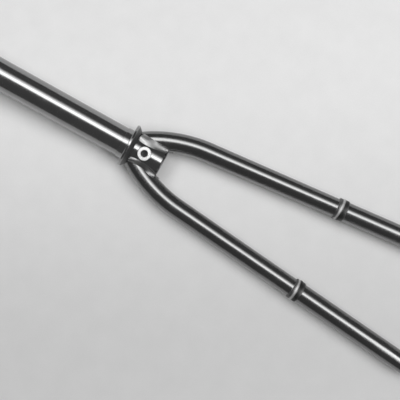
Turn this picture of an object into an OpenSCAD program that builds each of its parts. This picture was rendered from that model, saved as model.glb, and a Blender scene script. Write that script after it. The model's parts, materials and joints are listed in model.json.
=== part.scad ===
// Bicycle fork with a bent two-blade crown, lying front side up as it rests on a table.
// The steerer runs along -Y and the blades along +Y. The front of the fork faces +Z.

/* [Steerer tube] */
// Outside diameter of the steerer
steerer_d = 28.6; // [25.4:0.1:31.8]
// Wall of the steerer, over its upper part
steerer_wall = 1.6; // [1.2:0.1:2.2]
// Height of the steerer's root, below the seat's top, over its turned upper part
root_rise = 0.2; // [0.16:0.02:0.3]
// Wall of the steerer through the crown, where it is thicker
butt_wall = 2.4; // [2.3:0.1:3.2]
// Distance above the shoulder at which the wall starts to thin
butt_above = 40; // [20:1:60]
// Length over which the wall changes
butt_taper = 20; // [10:1:30]
// Length of steerer above the crown race seat's shoulder
steerer_above = 200; // [150:1:260]
// Length of steerer below the shoulder, through the crown
steerer_below = 37.8; // [34:0.1:44]
// Share of the wall that the rounded lip takes off at the steerer's lower end
lip_share = 0.9; // [0.3:0.05:0.95]
// Chamfer on the edges of the steerer's cut upper end
cut_chamfer = 0.4; // [0.2:0.1:0.6]

/* [Crown race seat] */
// Height of the seat, where the lower headset race is pressed on, over the turned steerer
seat_rise = 0.7; // [0.6:0.1:1.2]
// Length of the seat above its shoulder
seat_len = 6; // [4:0.5:10]
// Chamfer on the seat's upper edge
seat_chamfer = 0.2; // [0.1:0.05:0.25]
// Outside diameter of the flange
flange_d = 43; // [39:0.5:48]
// Thickness of the flange at its rim
flange_rim = 2.6; // [1.5:0.1:4]
// Chamfer on the flange's rim
rim_chamfer = 0.5; // [0.2:0.1:0.7]
// Height of the cone under the flange
cone_len = 4; // [2:0.1:5]
// Width of the flat foot that sits on the blades, beyond the steerer
foot_w = 2.8; // [2:0.1:4.5]
// Chamfer where the cone meets its foot
foot_chamfer = 0.8; // [0.3:0.1:1.2]

/* [Brake bolt sleeve] */
// Outside diameter of the sleeve
sleeve_d = 13.5; // [11:0.1:15]
// Bore for the brake bolt
sleeve_bore = 6.5; // [5:0.1:8]
// Distance of the bore's axis below the shoulder
sleeve_drop = 17.9; // [15:0.1:20]
// Height of the sleeve's flat face above the steerer's crest
sleeve_proud = 1; // [0.4:0.1:3]
// Chamfer on the sleeve's edges
sleeve_chamfer = 0.5; // [0.2:0.1:1]

/* [Upper blades] */
// Outside diameter through the bend
bend_d = 19.1; // [17:0.1:21]
// Outside diameter at the collar
neck_d = 18.2; // [16.5:0.1:20]
// Wall of the upper blades
upper_wall = 1.5; // [1:0.1:2.2]
// Radius of the bend, at the tube's centre
bend_r = 134; // [125:1:150]
// Distance of the bend's lower end below the shoulder
bend_end = 72; // [66:0.5:80]
// Distance of the blade's centre from the fork's middle, where the bend ends
bend_half = 31.2; // [28:0.1:34]
// Angle of the blades forward of the steerer
rake = 6.1; // [4:0.1:8]

/* [Collars] */
// Distance of the collar's middle below the shoulder
collar_drop = 210.5; // [180:0.5:230]
// Length of the collar
collar_len = 11; // [9:0.5:16]
// Wall of the collar over the lower blade
collar_wall = 0.95; // [0.7:0.05:1.6]
// Radius of the hollow at each end of the collar
collar_flank = 1.2; // [0.8:0.1:1.6]
// Height of the crest above the collar's body
crest_h = 0.5; // [0.3:0.05:1]
// Width of the crest at its foot
crest_w = 2.8; // [2:0.1:4]

/* [Lower blades] */
// Outside diameter of the lower blades
lower_d = 19.05; // [18:0.05:21]
// Wall of the lower blades
lower_wall = 1.2; // [0.9:0.1:2]
// Distance of the lower blade's end below the shoulder
blade_drop = 348; // [320:1:375]
// Height of the domed tip
dome_h = 5; // [3:0.1:7]
// Depth of the tip's plug inside the tube
plug_len = 14; // [10:0.5:24]

/* [Dropouts] */
// Distance between the inner faces of the dropouts
hub_w = 100; // [96:0.5:104]
// Thickness of each dropout plate
plate_t = 6; // [5:0.1:7]
// Distance of the wheel axle beyond the blade's end
axle_beyond = 20.6; // [19:0.1:24]
// Offset of the wheel axle to the front of the blade's centre
axle_offset = 1.2; // [0:0.1:3]
// Distance of the blade's centre outside the plate's middle, at the blade's end
blade_out = 4.8; // [2:0.1:5.4]
// Angle of the axle slot from the blade
slot_angle = 34; // [28:1:38]
// Width of the axle slot
slot_w = 9.8; // [9:0.1:10.5]
// Depth of the axle slot, from its closed end to its mouth
slot_len = 15.4; // [13:0.1:17]
// Width of the dropout's body over the slot
body_w = 23.3; // [21:0.1:26]
// Thickness of metal above the slot's closed end
bridge_t = 10.6; // [9:0.1:12]
// Radius of the rounded arm tips
arm_tip_r = 3.3; // [2:0.1:3.5]
// Width of the neck between the plate and the blade's end
neck_w = 12.5; // [10:0.1:13.5]
// Thickness of the neck and tongue, less than the plate's so that the faces for the hub stand clear
tongue_t = 4.4; // [3:0.1:4.8]
// Length of the tongue inside the blade
tongue_in = 12; // [8:0.5:14]
// Metal of the plug beside the tongue's corners
tongue_cover = 0.25; // [0.2:0.05:0.6]
// Distance of the mudguard eyelet behind the axle, across the slot
eyelet_back = 18.5; // [18:0.1:22]
// Distance of the eyelet above the axle, along the slot
eyelet_up = 2.3; // [0:0.1:4]
// Outside diameter of the eyelet
eyelet_d = 10.5; // [9:0.1:12]
// Threaded hole of the eyelet
eyelet_bore = 5; // [4.2:0.1:6]
// Width of the web that carries the eyelet
web_w = 8.3; // [6:0.1:9]

/* [Brazed fillets] */
// Width of the fillets on the steerer
fillet_w = 4.2; // [3:0.1:5]
// Width of the hand-laid left fillet on its blade, under the flange
left_root_w = 5.6; // [1.5:0.1:6.5]
// Width of the hand-laid right fillet on its blade, under the flange
right_root_w = 2; // [1.5:0.1:6.5]
// Width of the fillet on the blade, at the crotch
fillet_crotch_w = 4.8; // [3:0.1:6]
// How far the fillet's hollow is filled under the flange, where 1 is flat
fillet_root_fill = 1.1; // [0.4:0.05:1.2]
// How far it is filled at the crotch
fillet_fill = 0.55; // [0:0.05:0.8]
// Distance below the shoulder at which the left fillet has half changed from the one shape to the other
left_change = 22; // [16:0.5:30]
// Distance below the shoulder at which the right fillet has half changed
right_change = 28; // [16:0.5:30]
// Height of the braze heaped on the fillet against the flange's foot
fillet_heap = 1.8; // [0:0.1:3]
// Length over which the heap falls away
heap_len = 14; // [8:0.5:24]
// Thickness of the fillet at its two edges
fillet_toe = 0.15; // [0.1:0.01:0.4]

/* [Hidden] */
$fn = 96;

steel = [0.62, 0.63, 0.65];
steel_dark = [0.5, 0.51, 0.53];
braze = [0.56, 0.56, 0.55];

// Steerer and crown
steerer_r = steerer_d / 2;
root_r = steerer_r + root_rise;
foot_r = root_r + foot_w;
foot_at = flange_rim + cone_len;
sleeve_half = root_r + sleeve_proud;
// Place on the steerer's axis where the plane of the blades crosses it
crown_at = 14;
// Lip round the steerer's lower end: an arc from its start at this angle to as far from square
lip_tilt = 25;
lip_len = lip_share * butt_wall;
lip_r = lip_len / (cos(lip_tilt) - sin(lip_tilt));

// Dropout plates, and the angle at which the straight blades reach them
plate_at = hub_w / 2 + plate_t / 2;
splay = atan((plate_at + blade_out - bend_half) / (blade_drop - bend_end));

// Bend of the upper blades, in the plane of the blades: x across, y down the fork
bend_x = bend_half - bend_r * cos(splay);
bend_y = bend_end + bend_r * sin(splay);
// Angle of the bend where the blade's centre reaches the steerer's axis
bend_top = acos(-bend_x / bend_r);

// Straight blades
neck_len = (collar_drop - bend_end) / cos(splay);
lower_len = (blade_drop - collar_drop) / cos(splay);
lower_r = lower_d / 2;
collar_r = lower_r + collar_wall;
// Growth of the upper blade's radius for each millimetre back from the collar
neck_rise = (bend_d - neck_d) / 2 / neck_len;
// Radius of the ball that gives the domed tip
dome_r = (lower_r * lower_r + dome_h * dome_h) / (2 * dome_h);

// Plug in the blade's end, and the tongue that fits in it beside the blade's centre
plug_r = lower_r - lower_wall;
tongue_reach = blade_out + tongue_t / 2;
tongue_w = 2 * (sqrt(plug_r * plug_r - tongue_reach * tongue_reach) - tongue_cover);
// Place where the neck meets the blade's end, clear of its whole slanted edge
neck_at = blade_drop + lower_r * tan(splay);

// Dropouts, in their own plane
axle_at = blade_drop + axle_beyond;
slot_end = -slot_w / 2;
slot_mouth = slot_len - slot_w / 2;
body_at = slot_end - bridge_t + body_w / 2;
eyelet_turned = [-eyelet_up * cos(slot_angle) - eyelet_back * sin(slot_angle),
                 eyelet_up * sin(slot_angle) - eyelet_back * cos(slot_angle)];
eyelet_in_plane = [axle_at + eyelet_turned.x, axle_offset + eyelet_turned.y];

// Rest on a flat surface: the flange's lower edge and the two eyelets touch it
eyelet_low = to_fork([0, eyelet_in_plane.x, eyelet_in_plane.y]);
rest_run = [eyelet_low.y - flange_rim + rim_chamfer, eyelet_low.z + flange_d / 2];
rest_angle = atan2(rest_run.y, rest_run.x) - asin(eyelet_d / 2 / norm(rest_run));

// Gap that keeps the fillet's flat-sided bed clear of the round tubes
bed_gap = 0.03;
// Small overlap that lets a cutting shape pass right through
over = 1;

// Point in the blades' plane frame, turned by the rake into the steerer's frame
function to_fork(p) = [p.x,
    crown_at + (p.y - crown_at) * cos(rake) - p.z * sin(rake),
    (p.y - crown_at) * sin(rake) + p.z * cos(rake)];
function from_fork(p) = [p.x,
    crown_at + (p.y - crown_at) * cos(rake) + p.z * sin(rake),
    -(p.y - crown_at) * sin(rake) + p.z * cos(rake)];
function turned(v) = [v.x, v.y * cos(rake) - v.z * sin(rake), v.y * sin(rake) + v.z * cos(rake)];
function unit(v) = v / norm(v);

// The whole fork, laid down as it rests
module laid() { rotate([-rest_angle, 0, 0]) children(); }
// The plane of the blades
module blade_frame() {
    translate([0, crown_at, 0]) rotate([rake, 0, 0]) translate([0, -crown_at, 0]) children();
}
// A shape given for the fork's right side, put on either side
module on_side(side) { mirror([side == "left" ? 1 : 0, 0, 0]) children(); }
// Cylinder along +Y from y0 to y1
module bar(r, y0, y1) { translate([0, y0, 0]) rotate([-90, 0, 0]) cylinder(r = r, h = y1 - y0); }
// Lower end of a blade's bend, with +Y along the straight part and +X to the outside
module at_bend_end() { translate([bend_half, bend_end, 0]) rotate([0, 0, -splay]) children(); }
// The same line at the middle of the collar and at the blade's end, with +Z along the blade
module at_collar() { at_bend_end() translate([0, neck_len, 0]) rotate([-90, 0, 0]) children(); }
module at_blade_end() { at_collar() translate([0, 0, lower_len]) children(); }

// Tube turned down to the seat, with a thicker wall through the crown and a rounded lip below it
module steerer_tube() {
    thin_r = steerer_r - steerer_wall;
    thick_r = root_r - butt_wall;
    c = cut_chamfer;
    lip = [for (a = [lip_tilt:10:90 - lip_tilt])
        [root_r - lip_r * (cos(lip_tilt) - cos(a)), steerer_below - lip_r * (cos(lip_tilt) - sin(a))]];
    color(steel) laid() difference() {
        rotate([-90, 0, 0]) rotate_extrude()
            polygon(concat([[thin_r + c, -steerer_above], [steerer_r - c, -steerer_above],
                    [steerer_r, -steerer_above + c], [steerer_r, -seat_len], [root_r, -seat_len]], lip,
                [[thick_r, steerer_below], [thick_r, -butt_above], [thin_r, -butt_above - butt_taper],
                    [thin_r, -steerer_above + c]]));
        translate([0, sleeve_drop, 0]) cylinder(d = sleeve_d, h = 2 * sleeve_half, center = true);
    }
}

// Flange, cone and seat, turned in one piece and brazed to the steerer
module crown_race_seat() {
    seat_r = steerer_r + seat_rise;
    rim_r = flange_d / 2;
    color(steel) laid() rotate([-90, 0, 0]) rotate_extrude()
        polygon([[root_r, -seat_len], [seat_r - seat_chamfer, -seat_len], [seat_r, -seat_len + seat_chamfer],
                 [seat_r, 0], [rim_r - rim_chamfer, 0], [rim_r, rim_chamfer],
                 [rim_r, flange_rim - rim_chamfer], [rim_r - rim_chamfer, flange_rim],
                 [foot_r + foot_chamfer, foot_at - foot_chamfer], [foot_r, foot_at], [root_r, foot_at]]);
}

module brake_bolt_sleeve() {
    bore_r = sleeve_bore / 2;
    outer_r = sleeve_d / 2;
    c = sleeve_chamfer;
    color(steel) laid() translate([0, sleeve_drop, 0]) rotate_extrude()
        polygon([[bore_r, -sleeve_half + c], [bore_r + c, -sleeve_half], [outer_r - c, -sleeve_half],
                 [outer_r, -sleeve_half + c], [outer_r, sleeve_half - c], [outer_r - c, sleeve_half],
                 [bore_r + c, sleeve_half], [bore_r, sleeve_half - c]]);
}

// Upper blade before it is coped: the bend, then the taper to the collar
module upper_tube() {
    at_bend_end() translate([-bend_r, 0, 0]) rotate([180, 0, 0])
        rotate_extrude(angle = bend_top - splay) translate([bend_r, 0]) difference() {
            circle(r = bend_d / 2);
            circle(r = bend_d / 2 - upper_wall);
        }
    at_bend_end() rotate([-90, 0, 0]) rotate_extrude()
        polygon([[bend_d / 2 - upper_wall, 0], [bend_d / 2, 0],
                 [neck_d / 2, neck_len], [neck_d / 2 - upper_wall, neck_len]]);
}

module upper_blade(side) {
    color(steel) laid() difference() {
        blade_frame() on_side(side) upper_tube();
        bar(root_r, -2 * foot_at, steerer_below);
        bar(flange_d, -2 * bend_d, foot_at);
    }
}

// Place in the bend, by the angle along it and the angle round the tube
function bend_point(along, round, r) =
    let (c = bend_r + r * cos(round)) [bend_x + c * cos(along), bend_y - c * sin(along), r * sin(round)];
function bend_normal(along, round) =
    turned([cos(round) * cos(along), -cos(round) * sin(along), sin(round)]);
function off_steerer(along, round) =
    let (p = to_fork(bend_point(along, round, bend_d / 2))) norm([p.x, p.z]) - root_r;
// Angle along the bend where a line on the tube meets the steerer, found by halving
function meet_along(round, low = splay, high = bend_top, steps = 24) =
    let (mid = (low + high) / 2) steps == 0 ? mid
    : off_steerer(mid, round) > 0 ? meet_along(round, mid, high, steps - 1)
    : meet_along(round, low, mid, steps - 1);
function meet_point(round) = to_fork(bend_point(meet_along(round), round, bend_d / 2));
// A point drawn on to the steerer, and one drawn on to the bent tube, each raised by a little
function on_steerer(p, lift) =
    let (k = (root_r + lift) / norm([p.x, p.z])) [p.x * k, p.y, p.z * k];
function on_bend(p, lift) =
    let (q = from_fork(p), a = atan2(bend_y - q.y, q.x - bend_x), m = bend_centre(a))
    to_fork(m + unit(q - m) * (bend_d / 2 + lift));
function bend_centre(a) = [bend_x + bend_r * cos(a), bend_y - bend_r * sin(a), 0];
// Changes of the fillet along the joint, from 0 under the flange to 1 towards the crotch
change_half = 4;
function change(y, at) = ramp((y - at) / change_half / 2 + 0.5);
function settle(y) = ramp((y - foot_at) / heap_len);
function ramp(x) = let (u = min(max(x, 0), 1)) u * u * (3 - 2 * u);
// Section of the fillet at one place of the joint: its bed on the two tubes, then its face
face_steps = 6;
bed_steps = 4;
function fillet_section(round, root_w, change_at) =
    let (p = meet_point(round), t = unit(meet_point(round + 1) - meet_point(round - 1)),
         n1 = unit([p.x, 0, p.z]), n2 = bend_normal(meet_along(round), round),
         a0 = cross(t, n1), a = a0 * sign(a0 * n2), b0 = cross(t, n2), b = b0 * sign(b0 * n1),
         c = change(p.y, change_at), w = root_w * (1 - c) + fillet_crotch_w * c,
         fill = fillet_root_fill * (1 - c) + fillet_fill * c, heap = 2 * fillet_heap * (1 - settle(p.y)),
         from = on_steerer(p + a * fillet_w, fillet_toe), to = on_bend(p + b * w, fillet_toe),
         pull = (p + (n1 + n2) * fillet_toe) * (1 - fill) + (from + to) / 2 * fill + unit(n1 + n2) * heap,
         bed_a = [for (i = [bed_steps:-1:1]) on_steerer(p + a * fillet_w * i / bed_steps, bed_gap)],
         bed_b = [for (i = [1:bed_steps]) on_bend(p + b * w * i / bed_steps, bed_gap)],
         face = [for (i = [face_steps:-1:0]) let (u = i / face_steps)
             from * (1 - u) * (1 - u) + pull * 2 * u * (1 - u) + to * u * u])
    [for (q = concat(bed_a, [p + (n1 + n2) * bed_gap], bed_b, face)) [q.x, max(q.y, foot_at + bed_gap), q.z]];
// Sweep along the joint, from under the flange's foot to the steerer's lower end
joint_step = 4;
function joint_limit(y, low = 0, high = 175, steps = 16) =
    let (mid = (low + high) / 2) steps == 0 ? mid
    : meet_point(mid).y < y ? joint_limit(y, mid, high, steps - 1) : joint_limit(y, low, mid, steps - 1);
module fillet_sweep(dir, root_w, change_at) {
    first = joint_limit(foot_at + fillet_w / 4);
    last = joint_limit(steerer_below - lip_len - bed_gap);
    count = ceil((last - first) / joint_step);
    rings = [for (i = [0:count])
        fillet_section(dir * (first + (last - first) * i / count), root_w, change_at)];
    n = len(rings[0]);
    faces = concat(
        [for (i = [0:count - 1], j = [0:n - 1], h = [0, 1])
            let (a = i * n + j, b = i * n + (j + 1) % n) h == 0 ? [a, b, b + n] : [a, b + n, a + n]],
        [for (j = [1:n - 2]) [0, j + 1, j]],
        [for (j = [1:n - 2]) [count * n, count * n + j, count * n + j + 1]]);
    polyhedron([for (r = rings, p = r) p], dir > 0 ? faces : [for (f = faces) [f[2], f[1], f[0]]]);
}

module crown_fillet(side) {
    root_w = side == "left" ? left_root_w : right_root_w;
    change_at = side == "left" ? left_change : right_change;
    color(braze) laid() on_side(side)
        for (dir = [1, -1]) fillet_sweep(dir, root_w, change_at);
}

// Ring that sleeves the joint of the two tubes, with hollow flanks and a raised crest
module collar(side) {
    half = collar_len / 2;
    crest_r = crest_w / 2;
    color(steel) laid() blade_frame() on_side(side) at_collar() rotate_extrude() difference() {
        union() {
            difference() {
                translate([0, -half]) square([collar_r, collar_len]);
                for (s = [-1, 1]) translate([collar_r, s * half]) circle(r = collar_flank);
            }
            translate([collar_r + crest_h - crest_r, 0]) circle(r = crest_r);
        }
        square([lower_r, 2 * half]);
        polygon([[0, 0], [neck_d / 2, 0], [neck_d / 2 + neck_rise * collar_len, -collar_len],
                 [0, -collar_len]]);
    }
}

module lower_blade(side) {
    color(steel_dark) laid() blade_frame() on_side(side) at_collar() difference() {
        cylinder(r = lower_r, h = lower_len);
        translate([0, 0, -over]) cylinder(r = plug_r, h = lower_len + 2 * over);
    }
}

// Plug and dome that close the blade's end round the dropout's tongue, notched on the inside for its neck
module blade_tip(side) {
    color(steel_dark) laid() blade_frame() on_side(side) difference() {
        at_blade_end() rotate_extrude() {
            translate([0, -plug_len]) square([plug_r, plug_len]);
            intersection() {
                translate([0, dome_h - dome_r]) circle(r = dome_r);
                square([lower_r, dome_h]);
            }
        }
        translate([plate_at - tongue_t / 2, blade_drop - tongue_in, -tongue_w / 2])
            cube([tongue_t, tongue_in + dome_h + over, tongue_w]);
        translate([plate_at - lower_d, neck_at, -neck_w / 2])
            cube([lower_d + tongue_t / 2, dome_h + over, neck_w]);
    }
}

// Dropout in its own plane, with +X out of the slot's mouth and +Y to the front: the forked body
module dropout_body() {
    tip_x = slot_mouth - arm_tip_r;
    tip_y = body_w / 2 - arm_tip_r;
    translate([body_at, 0]) circle(d = body_w);
    translate([body_at, -body_w / 2]) square([tip_x - body_at, body_w]);
    translate([body_at, -tip_y]) square([slot_mouth - body_at, 2 * tip_y]);
    for (s = [-1, 1]) translate([tip_x, s * tip_y]) circle(r = arm_tip_r);
    translate([-eyelet_up, -eyelet_back]) circle(d = eyelet_d);
    translate([-eyelet_up - web_w / 2, -eyelet_back]) square([web_w, eyelet_back]);
}

// The neck on the blade's end with the tongue brazed into it, and the cuts through the plate
module dropout_tongue() {
    neck_drop = neck_at - blade_drop;
    rotate(slot_angle) translate([-axle_beyond, -axle_offset]) {
        translate([neck_drop, -neck_w / 2]) square([axle_beyond - neck_drop, neck_w]);
        translate([-tongue_in, -tongue_w / 2]) square([axle_beyond + tongue_in, tongue_w]);
    }
}
module dropout_cuts() {
    circle(d = slot_w);
    translate([0, -slot_w / 2]) square([slot_mouth + over, slot_w]);
    translate([-eyelet_up, -eyelet_back]) circle(d = eyelet_bore);
}

module dropout_solid() {
    translate([plate_at, axle_at, axle_offset]) rotate([90, 0, 90]) rotate(-slot_angle) difference() {
        union() {
            linear_extrude(plate_t, center = true) dropout_body();
            linear_extrude(tongue_t, center = true) dropout_tongue();
        }
        linear_extrude(plate_t + 2 * over, center = true) dropout_cuts();
    }
}

module dropout(side) {
    color(steel_dark) laid() blade_frame() on_side(side) dropout_solid();
}

steerer_tube();
crown_race_seat();
brake_bolt_sleeve();
upper_blade("left");  // left_upper_blade
upper_blade("right");  // right_upper_blade
crown_fillet("left");  // left_crown_fillet
crown_fillet("right");  // right_crown_fillet
collar("left");  // left_collar
collar("right");  // right_collar
lower_blade("left");  // left_lower_blade
lower_blade("right");  // right_lower_blade
blade_tip("left");  // left_blade_tip
blade_tip("right");  // right_blade_tip
dropout("left");  // left_dropout
dropout("right");  // right_dropout
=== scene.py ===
"""A plated steel bicycle fork, lying front side up on a pale table top."""

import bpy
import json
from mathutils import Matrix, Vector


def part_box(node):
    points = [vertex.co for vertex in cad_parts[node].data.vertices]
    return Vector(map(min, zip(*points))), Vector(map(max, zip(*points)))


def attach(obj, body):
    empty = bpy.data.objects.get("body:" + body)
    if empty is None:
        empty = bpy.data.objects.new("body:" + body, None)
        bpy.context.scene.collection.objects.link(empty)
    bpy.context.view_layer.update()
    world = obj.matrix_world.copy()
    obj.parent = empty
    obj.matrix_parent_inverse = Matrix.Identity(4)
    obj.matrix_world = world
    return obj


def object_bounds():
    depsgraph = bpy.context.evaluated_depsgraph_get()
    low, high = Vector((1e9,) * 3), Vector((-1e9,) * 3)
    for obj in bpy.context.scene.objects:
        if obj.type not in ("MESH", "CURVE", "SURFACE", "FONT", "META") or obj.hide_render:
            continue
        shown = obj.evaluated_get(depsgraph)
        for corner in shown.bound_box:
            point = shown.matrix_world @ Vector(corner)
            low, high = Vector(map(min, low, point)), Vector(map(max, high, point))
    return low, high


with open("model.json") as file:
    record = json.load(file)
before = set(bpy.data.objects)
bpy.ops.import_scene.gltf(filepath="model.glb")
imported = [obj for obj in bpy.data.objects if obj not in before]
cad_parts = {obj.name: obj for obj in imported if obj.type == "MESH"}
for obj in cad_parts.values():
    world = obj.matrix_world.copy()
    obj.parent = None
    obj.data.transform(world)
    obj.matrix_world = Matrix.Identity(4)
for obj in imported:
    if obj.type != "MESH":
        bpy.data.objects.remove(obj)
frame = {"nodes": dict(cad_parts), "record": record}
cad_box = [list(corner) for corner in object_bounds()]

import json
import math

import bpy
from mathutils import Euler, Matrix, Vector

MM = 0.001
NODES = frame["nodes"]
SIDES = ("left", "right")

# Camera found from the outline of the fork in the photograph: its place in metres, its turns in degrees, its
# lens and sensor in mm
CAMERA_AT = Vector((0.0024, 0.08585, 0.62854))
CAMERA_TURN = 28.95
CAMERA_TILT = 0.888
CAMERA_PAN = 0.396
LENS = 58.65
SENSOR = 36

# The fork as it lies, in degrees: tilt of the steerer, tilt and splay of the straight blades
STEERER_TILT = 6.4235
BLADE_TILT = 0.3235
BLADE_SPLAY = 5.505
STEERER_LIES = (-STEERER_TILT, 0, 0)
BLADE_LIES = {"left": (-BLADE_TILT, 0, BLADE_SPLAY), "right": (-BLADE_TILT, 0, -BLADE_SPLAY)}

# Shape of the lines that a tool leaves: along a tube, round a turned ring, in circles on a faced end
ALONG = (1, 0.02, 1)
AROUND = (0.02, 1, 0.02)
FACED = (1, 1, 0.02)

# Noise mostly stays between these two values, and its relief bends the light this strongly
NOISE_LOW, NOISE_HIGH = 0.3, 0.7
RELIEF = 0.3

# Handling leaves cloudy patches on plate: their size in mm, how much of the noise is hazy and the roughness
# that the haze adds
CLOUD = 14
HAZE_STARTS, HAZE_FULL = 0.55, 0.75
HAZE = 0.04


def linear(hex_colour):
    """An sRGB hex colour as linear red, green, blue and alpha."""
    parts = [int(hex_colour[i:i + 2], 16) / 255 for i in (1, 3, 5)]
    return [p / 12.92 if p <= 0.04045 else ((p + 0.055) / 1.055) ** 2.4 for p in parts] + [1.0]


def inlet(n, name):
    """A node's input, by number or by name."""
    if isinstance(name, int):
        return n.inputs[name]
    return next(s for s in n.inputs if s.name == name and s.enabled)


def add(tree, kind, links=(), **values):
    """Adds a node; values set its settings or its sockets, links joins sockets to its inputs."""
    n = tree.nodes.new(kind)
    for name, value in values.items():
        if hasattr(n, name):
            setattr(n, name, value)
        else:
            inlet(n, name.replace("_", " ")).default_value = value
    for name, source in dict(links).items():
        tree.links.new(source, inlet(n, name))
    return n


def metal(name, dark, light, rough, turn=(0, 0, 0), stretch=(1, 1, 1), grain=0.4, depth=0.02,
          centre=(0, 0, 0), painted_zones=()):
    """A metal whose colour and roughness vary along fine lines, in clouds and from zone to zone of painted
    light and shade.

    turn is the direction of the lines' frame in degrees and centre its origin in metres; stretch is the lines'
    shape, grain their spacing and depth their relief in mm. Each zone has a place along that frame's Y in mm,
    a shade that the colour is multiplied by and a roughness that is added. Real polishing lines, turning rings
    and file marks are a few hundredths of a millimetre apart and would not show, so grain draws them ten to
    twenty times coarser.
    """
    mat = bpy.data.materials.new(name)
    mat.use_nodes = True
    tree = mat.node_tree
    shader = tree.nodes["Principled BSDF"]
    place = add(tree, "ShaderNodeTexCoord").outputs["Object"]
    turned = add(tree, "ShaderNodeMapping", {"Vector": place}, vector_type="TEXTURE")
    turned.inputs["Location"].default_value = centre
    turned.inputs["Rotation"].default_value = [math.radians(a) for a in turn]
    turned = turned.outputs["Vector"]
    shaped = add(tree, "ShaderNodeMapping", {"Vector": turned})
    shaped.inputs["Scale"].default_value = stretch
    lines = add(tree, "ShaderNodeTexNoise", {"Vector": shaped.outputs["Vector"]},
                Scale=1 / (grain * MM), Detail=3).outputs["Fac"]
    clouds = add(tree, "ShaderNodeTexNoise", {"Vector": place},
                 Scale=1 / (CLOUD * MM), Detail=3).outputs["Fac"]
    tint = add(tree, "ShaderNodeMix", {"Factor": clouds}, data_type="RGBA",
               A=linear(dark), B=linear(light)).outputs["Result"]
    spread = add(tree, "ShaderNodeMapRange", {"Value": lines}, From_Min=NOISE_LOW, From_Max=NOISE_HIGH,
                 To_Min=rough[0], To_Max=rough[1]).outputs["Result"]
    haze = add(tree, "ShaderNodeMapRange", {"Value": clouds}, From_Min=HAZE_STARTS, From_Max=HAZE_FULL,
               To_Min=0.0, To_Max=HAZE).outputs["Result"]
    spread = add(tree, "ShaderNodeMath", {0: spread, 1: haze}, operation="ADD").outputs["Value"]
    # Painted light and shade: each zone's shade multiplies the colour, and its alpha adds roughness
    if painted_zones:
        first, last = painted_zones[0][0], painted_zones[-1][0]
        along = add(tree, "ShaderNodeSeparateXYZ", {"Vector": turned}).outputs["Y"]
        along = add(tree, "ShaderNodeMapRange", {"Value": along},
                    From_Min=first * MM, From_Max=last * MM).outputs["Result"]
        ramp = add(tree, "ShaderNodeValToRGB", {"Fac": along})
        stops = ramp.color_ramp.elements
        while len(stops) < len(painted_zones):
            stops.new(0.5)
        for stop, (at, shade, dull) in zip(stops, painted_zones):
            stop.position = (at - first) / (last - first)
            stop.color = (shade, shade, shade, dull)
        tint = add(tree, "ShaderNodeMix", {"A": tint, "B": ramp.outputs["Color"]}, data_type="RGBA",
                   blend_type="MULTIPLY", Factor=1.0).outputs["Result"]
        spread = add(tree, "ShaderNodeMath", {0: spread, 1: ramp.outputs["Alpha"]},
                     operation="ADD").outputs["Value"]
    bump = add(tree, "ShaderNodeBump", {"Height": lines}, Strength=RELIEF, Distance=depth * MM)
    tree.links.new(tint, shader.inputs["Base Color"])
    tree.links.new(spread, shader.inputs["Roughness"])
    tree.links.new(bump.outputs["Normal"], shader.inputs["Normal"])
    shader.inputs["Metallic"].default_value = 1.0
    return mat


def seen_or_mirrored(tree):
    """1 for what the camera sees straight or in metal, 0 for light on its way to the fork."""
    path = add(tree, "ShaderNodeLightPath").outputs
    seen = add(tree, "ShaderNodeMath", {0: path["Is Camera Ray"], 1: path["Is Glossy Ray"]},
               operation="MAXIMUM").outputs["Value"]
    return add(tree, "ShaderNodeMath", {0: seen, 1: path["Is Transmission Ray"]},
               operation="MAXIMUM").outputs["Value"]


def dress(node_name, mat):
    """Gives a CAD node its finish."""
    mesh = NODES[node_name].data
    mesh.materials.clear()
    mesh.materials.append(mat)


# Zones of painted light and shade on parts that aren't equally bright all along: place in mm, shade and added
# roughness.
# On the turned ring, painted shade darkens the deep corner beyond the flange and the edge of the seat
RING_PAINTED_SHADE = [(-6.1, 0.15, 0.2), (-5.85, 0.15, 0.2), (-5.8, 1.0, 0),
              (2.2, 1.0, 0), (2.9, 0.36, 0.2), (9.0, 0.3, 0.24)]
# Each fillet has its own painted light: on the left a painted highlight near the flange, on the right painted
# shade there, and on both painted shade near the crotch
FILLET_PAINTED_LIGHT = {
    "left": [(0, 1.0, 0), (5, 1.35, 0.05), (15.5, 1.35, 0.1), (21.5, 0.62, 0.05), (40, 0.62, 0.05)],
    "right": [(0, 0.6, 0), (10, 0.6, 0), (14, 1.0, 0.05), (18, 1.0, 0.05),
              (21.5, 0.7, 0.05), (40, 0.7, 0.05)]}
# On a collar, painted shade darkens the flanks, the one towards the dropout the most, and a painted highlight
# lies on the crest between them
COLLAR_PAINTED_LIGHT = [(-6.5, 0.5, 0.15), (-3.6, 0.45, 0.15), (-2.9, 0.4, 0.15),
                (-2.1, 1.6, 0.3), (-0.8, 1.6, 0.3), (0.0, 0.3, 0.15),
                (0.6, 0.15, 0.15), (2.6, 0.15, 0.15), (4.6, 0.3, 0.15), (6.5, 0.4, 0.15)]

# Hard chrome plate over polished steel tube: a bright mirror, broken only by faint lines along the tube
dress("steerer_tube", metal(
    "chrome_plated_polished_tube", "#8e8e8e", "#9c9c9c", (0.13, 0.19), STEERER_LIES, ALONG))

# Plated steel turned in a lathe: faint rings, bright on its rim and seat, with painted shade dark in its
# corners
dress("crown_race_seat", metal(
    "chrome_plated_turned_ring", "#8e8e8e", "#a0a0a0", (0.12, 0.2), STEERER_LIES, AROUND, grain=0.3,
    painted_zones=RING_PAINTED_SHADE))

# The sleeve's face is ground flat and plated: a bright disc with fine rings round the bolt's hole
dress("brake_bolt_sleeve", metal(
    "chrome_plated_ground_sleeve", "#c0c0c0", "#cccccc", (0.1, 0.18), STEERER_LIES, FACED, grain=0.3))

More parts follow.
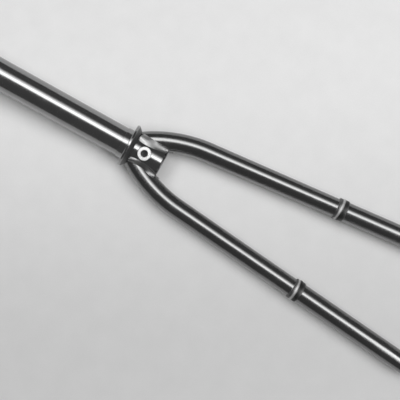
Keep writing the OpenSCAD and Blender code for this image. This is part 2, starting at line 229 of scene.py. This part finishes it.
for side in SIDES:
    # The same plate over drawn tube, a little duller than the steerer where the buffing wheel reached less
    drawn = metal(f"chrome_plated_drawn_{side}_blade", "#7a7a7a", "#888888", (0.18, 0.24),
                  BLADE_LIES[side], ALONG)
    dress(f"{side}_upper_blade", drawn)
    dress(f"{side}_lower_blade", drawn)

    # Braze filed by hand and plated: an uneven surface whose highlights are broad and soft
    # The fillet's colour carries a painted highlight and painted shade along the fork
    dress(f"{side}_crown_fillet", metal(
        f"chrome_plated_filed_{side}_braze", "#888888", "#a0a0a0", (0.27, 0.4), grain=1.6, depth=0.05,
        painted_zones=FILLET_PAINTED_LIGHT[side]))
    dress(f"{side}_blade_tip", metal(
        f"chrome_plated_filed_{side}_tip", "#888888", "#a0a0a0", (0.27, 0.4), grain=1.6, depth=0.05))

    # Collar left as brazed: dull, grey and a little rough, with a painted highlight on its crest and painted
    # shade on its flanks
    low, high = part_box(f"{side}_collar")
    dress(f"{side}_collar", metal(
        f"dull_painted_light_{side}_collar", "#989898", "#b4b4b4", (0.32, 0.44), grain=0.9, depth=0.05,
        centre=(low + high) / 2, painted_zones=COLLAR_PAINTED_LIGHT))

    # Drop forging, tumbled before plating: a finely pitted, satin surface
    dress(f"{side}_dropout", metal(
        f"satin_plated_{side}_forging", "#848484", "#989898", (0.26, 0.38), grain=0.8, depth=0.04))


def model(name, material, slot):
    """The piece just modelled gets its name and finish; its copies are what the fork carries."""
    piece = bpy.context.active_object
    piece.name = name
    piece.data.materials.append(material)
    piece["slot"] = slot
    return piece


def put(piece, name, at, turn=(0, 0, 0), size=(1, 1, 1)):
    """A copy of a piece with its own mesh, in its place on the fork."""
    turned = Euler([math.radians(a) for a in turn])
    copy = piece.copy()
    copy.data = piece.data.copy()
    copy.data.transform(Matrix.LocRotScale(Vector(at), turned, Vector(size)))
    copy.name = name
    bpy.context.scene.collection.objects.link(copy)
    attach(copy, "root")


# Thread of the eyelets, 5 mm across and 0.8 mm a turn: one sharp three-cornered ridge wound up the hole
THREAD_PITCH = 0.8 * MM
THREAD_TURNS = 6
THREAD_STEPS = 24
THREAD_RIDGE = 0.43 * MM
THREAD_AT = 2.43 * MM
THREAD_DOUBLES = 0.001 * MM
bpy.ops.object.select_all(action="DESELECT")
bpy.ops.mesh.primitive_circle_add(
    vertices=3, radius=THREAD_RIDGE, location=(THREAD_AT, 0, -THREAD_PITCH * THREAD_TURNS / 2),
    rotation=(math.radians(90), math.radians(-90), 0))
# Tapped steel is cut, not plated: darker than the forging round it
thread = model(
    "eyelet_thread", metal("tapped_steel_thread", "#6c6c6c", "#848484", (0.28, 0.4), grain=0.3), "forged_steel")
bpy.ops.object.transform_apply(location=True, rotation=True, scale=True)
wind = thread.modifiers.new("wind", "SCREW")
wind.screw_offset = THREAD_PITCH
wind.iterations = THREAD_TURNS
wind.steps = wind.render_steps = THREAD_STEPS
bpy.ops.object.modifier_apply(modifier="wind")
bpy.ops.object.mode_set(mode="EDIT")
bpy.ops.mesh.select_all(action="SELECT")
bpy.ops.mesh.remove_doubles(threshold=THREAD_DOUBLES)
bpy.ops.mesh.fill_holes(sides=0)
bpy.ops.mesh.select_all(action="SELECT")
bpy.ops.mesh.normals_make_consistent(inside=False)
bpy.ops.object.mode_set(mode="OBJECT")
for mount in frame["record"]["mounts"]:
    if mount["name"].endswith("eyelet"):
        put(thread, mount["name"] + "_thread", mount["pos_m"], turn=(0, 90, 0))
bpy.data.objects.remove(thread)

# Bead of braze where each dropout leaves its blade: drawn out along the joint, with the waves it froze in
BEAD_RADIUS = MM
BEAD_LONG = 6.2
WAVE_WIDE = 1.8 * MM
WAVE_HIGH = 0.35 * MM
# In mm, how far each bead's middle stands off the plate and lies back from the blade's end. The inner one is
# the fatter
OUTER_OFF, OUTER_BACK = 0.2, 0.75
INNER_OFF, INNER_BACK = 0.1, 2.1
INNER_SIZE = (1.1, 1.3, 0.95)
bpy.ops.object.select_all(action="DESELECT")
bpy.ops.mesh.primitive_uv_sphere_add(segments=24, ring_count=20, radius=BEAD_RADIUS)
# Braze as it ran, plated: the brightest and smoothest of the brazed surfaces
bead = model(
    "braze_bead", metal("chrome_plated_braze_bead", "#8e8e8e", "#a8a8a8", (0.24, 0.36), grain=1.2, depth=0.05),
    "plated_braze")
bpy.ops.object.mode_set(mode="EDIT")
bpy.ops.mesh.select_all(action="SELECT")
bpy.ops.transform.resize(value=(1, 1, BEAD_LONG))
bpy.ops.object.mode_set(mode="OBJECT")
fine = bead.modifiers.new("fine", "SUBSURF")
fine.levels = fine.render_levels = 1
waves = bpy.data.textures.new("braze_waves", "CLOUDS")
waves.noise_scale = WAVE_WIDE
rise = bead.modifiers.new("rise", "DISPLACE")
rise.texture = waves
rise.texture_coords = "LOCAL"
rise.strength = WAVE_HIGH
for step in ("fine", "rise"):
    bpy.ops.object.modifier_apply(modifier=step)
bpy.ops.object.shade_smooth()
for side in SIDES:
    low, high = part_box(f"{side}_dropout")
    tip_low, tip_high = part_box(f"{side}_blade_tip")
    inward = 1 if side == "left" else -1
    inner, outer = (high.x, low.x) if side == "left" else (low.x, high.x)
    middle = (tip_low.z + tip_high.z) / 2
    put(bead, f"{side}_outer_braze_bead",
        (outer - OUTER_OFF * inward * MM, tip_high.y - OUTER_BACK * MM, middle))
    put(bead, f"{side}_inner_braze_bead",
        (inner + INNER_OFF * inward * MM, tip_high.y - INNER_BACK * MM, middle), size=INNER_SIZE)
bpy.data.objects.remove(bead)

# Table top: heavy matt paper. The eye sees a faint cloudiness, and painted shade greys the sheet slowly away
# from the lamp
TABLE = 24
TABLE_AT = cad_box[0][2]
PAPER, PAPER_IN_PAINTED_SHADE = "#eeeeee", "#d2d2d2"
PAINTED_SHADE_FROM, PAINTED_SHADE_TO = -0.09, 0.22
# Fibres and clumps of pulp in mm, drawn coarser than real ones, which would not show
FIBRE, PULP = 1.2, 22
FIBRE_RELIEF, FIBRE_DEPTH = 0.2, 0.05
MOTTLE = 0.03
# The lamps don't reach the far table, which is kept as pale as the near one, up to the horizon: where that
# starts, where it is full and how strong it is there
PALE_FROM, PALE_TO = 0.45, 4.0
PALE = 0.6
bpy.ops.object.select_all(action="DESELECT")
bpy.ops.mesh.primitive_plane_add(size=TABLE, location=(0, 0, TABLE_AT))
floor = bpy.context.active_object
floor.name = "table_top"
paper = bpy.data.materials.new("matt_white_paper")
paper.use_nodes = True
tree = paper.node_tree
shader = tree.nodes["Principled BSDF"]
place = add(tree, "ShaderNodeTexCoord").outputs["Object"]
across = add(tree, "ShaderNodeMapping", {"Vector": place}, vector_type="TEXTURE")
across.inputs["Rotation"].default_value = (0, 0, math.radians(CAMERA_TURN))
across = add(tree, "ShaderNodeSeparateXYZ", {"Vector": across.outputs["Vector"]}).outputs["X"]
# Painted shade: the paper's colour greys across the table, away from the lamp
away = add(tree, "ShaderNodeMapRange", {"Value": across}, interpolation_type="SMOOTHSTEP",
           From_Min=PAINTED_SHADE_FROM, From_Max=PAINTED_SHADE_TO).outputs["Result"]
sheet = add(tree, "ShaderNodeMix", {"Factor": away}, data_type="RGBA",
            A=linear(PAPER), B=linear(PAPER_IN_PAINTED_SHADE)).outputs["Result"]
fibre = add(tree, "ShaderNodeTexNoise", {"Vector": place}, Scale=1 / (FIBRE * MM), Detail=4).outputs["Fac"]
pulp = add(tree, "ShaderNodeTexNoise", {"Vector": place}, Scale=1 / (PULP * MM), Detail=2).outputs["Fac"]
mottle = add(tree, "ShaderNodeMath", {0: fibre, 1: pulp}, operation="ADD").outputs["Value"]
mottle = add(tree, "ShaderNodeMapRange", {"Value": mottle}, From_Min=2 * NOISE_LOW, From_Max=2 * NOISE_HIGH,
             To_Min=1 - MOTTLE, To_Max=1 + MOTTLE).outputs["Result"]
sheet = add(tree, "ShaderNodeMix", {"A": sheet, "B": mottle}, data_type="RGBA",
            blend_type="MULTIPLY", Factor=1.0).outputs["Result"]
grain = add(tree, "ShaderNodeBump", {"Height": fibre}, Strength=FIBRE_RELIEF, Distance=FIBRE_DEPTH * MM)
far = add(tree, "ShaderNodeVectorMath", {0: place}, operation="LENGTH").outputs["Value"]
far = add(tree, "ShaderNodeMapRange", {"Value": far}, From_Min=PALE_FROM, From_Max=PALE_TO,
          To_Min=0.0, To_Max=PALE).outputs["Result"]
far = add(tree, "ShaderNodeMath", {0: far, 1: seen_or_mirrored(tree)}, operation="MULTIPLY").outputs["Value"]
tree.links.new(sheet, shader.inputs["Base Color"])
tree.links.new(grain.outputs["Normal"], shader.inputs["Normal"])
tree.links.new(far, shader.inputs["Emission Strength"])
shader.inputs["Emission Color"].default_value = (1, 1, 1, 1)
shader.inputs["Roughness"].default_value = 0.9
floor.data.materials.append(paper)

# Lamps: a soft box over the fork's left, whose bright middle and dimmer cloth the tubes mirror, and a wider
# panel beyond each of its ends that lights little more than the table
LAMP_AWAY = 3.0
BOX_ALONG = (-0.7, 1.6)
PANEL_ANGLES = (-12, 30)


def soft_box(name, angles, along, radiance):
    """A lamp between two angles in degrees, from overhead to the left, and two places in metres along Y."""
    (nearest, farthest), (lower, upper) = angles, along
    middle = math.radians((nearest + farthest) / 2)
    half = math.radians((farthest - nearest) / 2)
    light = bpy.data.lights.new(name, "AREA")
    light.shape = "RECTANGLE"
    light.size = 2 * LAMP_AWAY * math.tan(half)
    light.size_y = upper - lower
    light.energy = radiance * math.pi * light.size * light.size_y
    lamp = bpy.data.objects.new(name, light)
    bpy.context.scene.collection.objects.link(lamp)
    lamp.location = (-LAMP_AWAY * math.sin(middle), (lower + upper) / 2, LAMP_AWAY * math.cos(middle))
    lamp.rotation_euler = (0, -middle, 0)


soft_box("soft_box_near_cloth", (-1, 4), BOX_ALONG, 1.7)
soft_box("soft_box_middle", (4, 21), BOX_ALONG, 3.9)
soft_box("soft_box_far_cloth", (21, 31), BOX_ALONG, 1.7)
soft_box("soft_box_edge", (31, 38), BOX_ALONG, 0.6)
soft_box("lower_table_panel", PANEL_ANGLES, (1.65, 3.0), 5.6)
soft_box("upper_table_panel", PANEL_ANGLES, (-1.9, -0.75), 3.9)

# Room: pale at the horizon and dark overhead, as the camera sees it and the metal mirrors it, with a little
# light of its own
HORIZON, OVERHEAD = 0.7, 0.115
HORIZON_HIGH = 0.07
ROOM_LIGHT = 0.08
world = bpy.data.worlds.new("studio")
bpy.context.scene.world = world
world.use_nodes = True
tree = world.node_tree
tree.nodes.clear()
look = add(tree, "ShaderNodeTexCoord").outputs["Generated"]
height = add(tree, "ShaderNodeSeparateXYZ", {"Vector": look}).outputs["Z"]
room = add(tree, "ShaderNodeMapRange", {"Value": height}, interpolation_type="SMOOTHSTEP",
           From_Min=0.0, From_Max=HORIZON_HIGH, To_Min=HORIZON, To_Max=OVERHEAD).outputs["Result"]
level = add(tree, "ShaderNodeMix", {"Factor": seen_or_mirrored(tree), "B": room},
            A=ROOM_LIGHT).outputs["Result"]
back = add(tree, "ShaderNodeBackground", {"Strength": level}, Color=(1, 1, 1, 1)).outputs["Background"]
add(tree, "ShaderNodeOutputWorld", {"Surface": back})

# Camera: it looks straight down, turned on its own axis, with a slight pan and tilt
turn = math.radians(CAMERA_TURN)
base = Matrix(((-math.sin(turn), math.cos(turn), 0), (math.cos(turn), math.sin(turn), 0), (0, 0, -1)))
pan = Matrix.Rotation(math.radians(CAMERA_PAN), 3, "Y")
tilt = Matrix.Rotation(math.radians(CAMERA_TILT), 3, "X")
right, down, ahead = pan @ tilt @ base
axes = Matrix((right, -down, -ahead)).transposed()
cam = bpy.data.cameras.new("camera")
cam.sensor_width = SENSOR
cam.lens = LENS
camera = bpy.data.objects.new("camera", cam)
bpy.context.scene.collection.objects.link(camera)
camera.matrix_world = Matrix.Translation(CAMERA_AT) @ axes.to_4x4()
bpy.context.scene.camera = camera
bpy.context.scene.view_settings.view_transform = "Standard"
